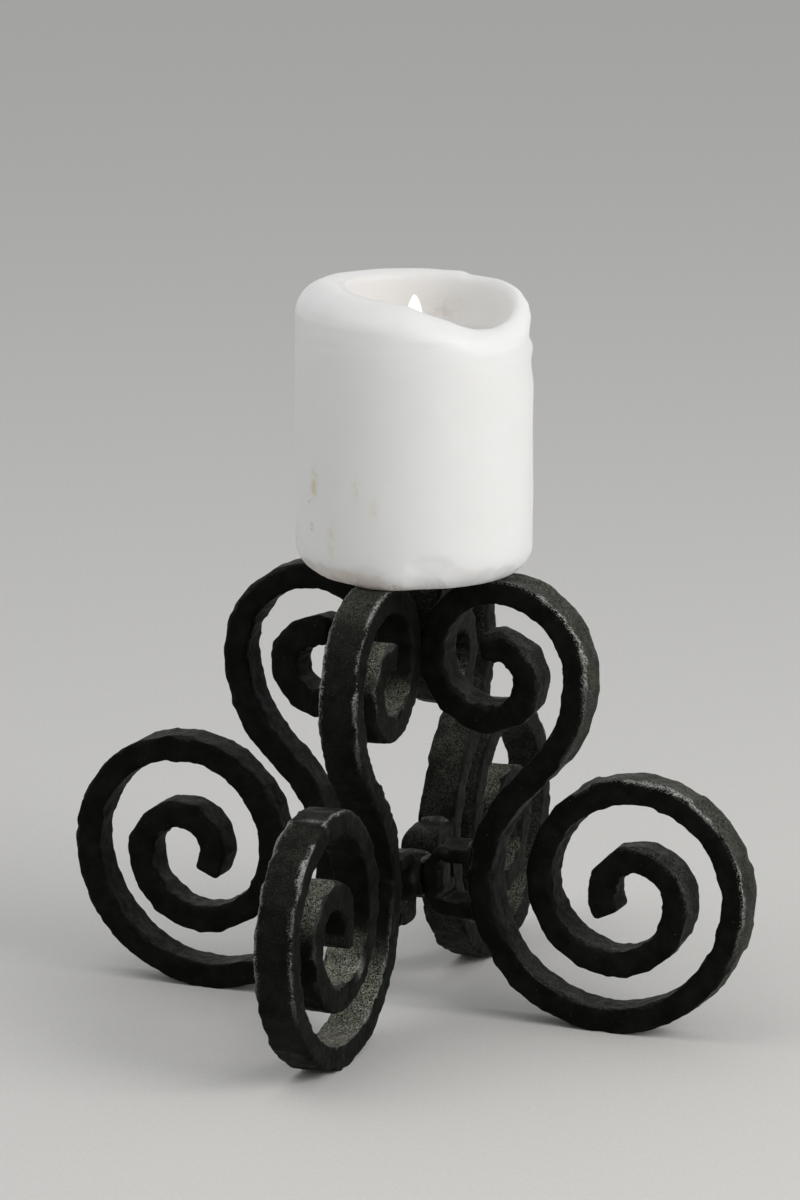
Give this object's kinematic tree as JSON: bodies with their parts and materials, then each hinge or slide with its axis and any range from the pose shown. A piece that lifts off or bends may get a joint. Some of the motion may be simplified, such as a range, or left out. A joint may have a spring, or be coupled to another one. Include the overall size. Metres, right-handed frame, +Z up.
{
  "type": "pillar candle stand",
  "caption": "Low wrought-iron candle stand: hammered S-scroll legs joined at the waist by small C-shaped links, carrying a white pillar candle that lifts off the scroll tops.",
  "frame": {"origin": "on the floor, on the upright axis that the four legs stand round", "axes": "+Z up along the stand's axis, +X along the right-hand leg, +Y along the back leg"},
  "size_m": [0.2376, 0.2376, 0.2434],
  "materials": {
    "blackened_iron": "hammered, matt black with worn edges",
    "weld_metal": "matt black over a rippled weld bead",
    "candle_wax": "soft satin, slightly translucent",
    "wick_cotton": "charred braided cotton"
  },
  "bodies": {
    "stand": {"leg_right": "blackened_iron", "leg_back": "blackened_iron", "leg_left": "blackened_iron", "leg_front": "blackened_iron", "link_right": "blackened_iron", "link_back": "blackened_iron", "link_left": "blackened_iron", "link_front": "blackened_iron", "core_block": "blackened_iron", "link_welds": "weld_metal", "core_welds": "weld_metal"},
    "candle": {"candle_wax": "candle_wax", "candle_wick": "wick_cotton"}
  },
  "joints": [
    {"name": "candle_lift", "type": "slide", "parent": "stand", "child": "candle", "axis": [0, 0, 1], "range_m": [0, 0.06]}
  ]
}
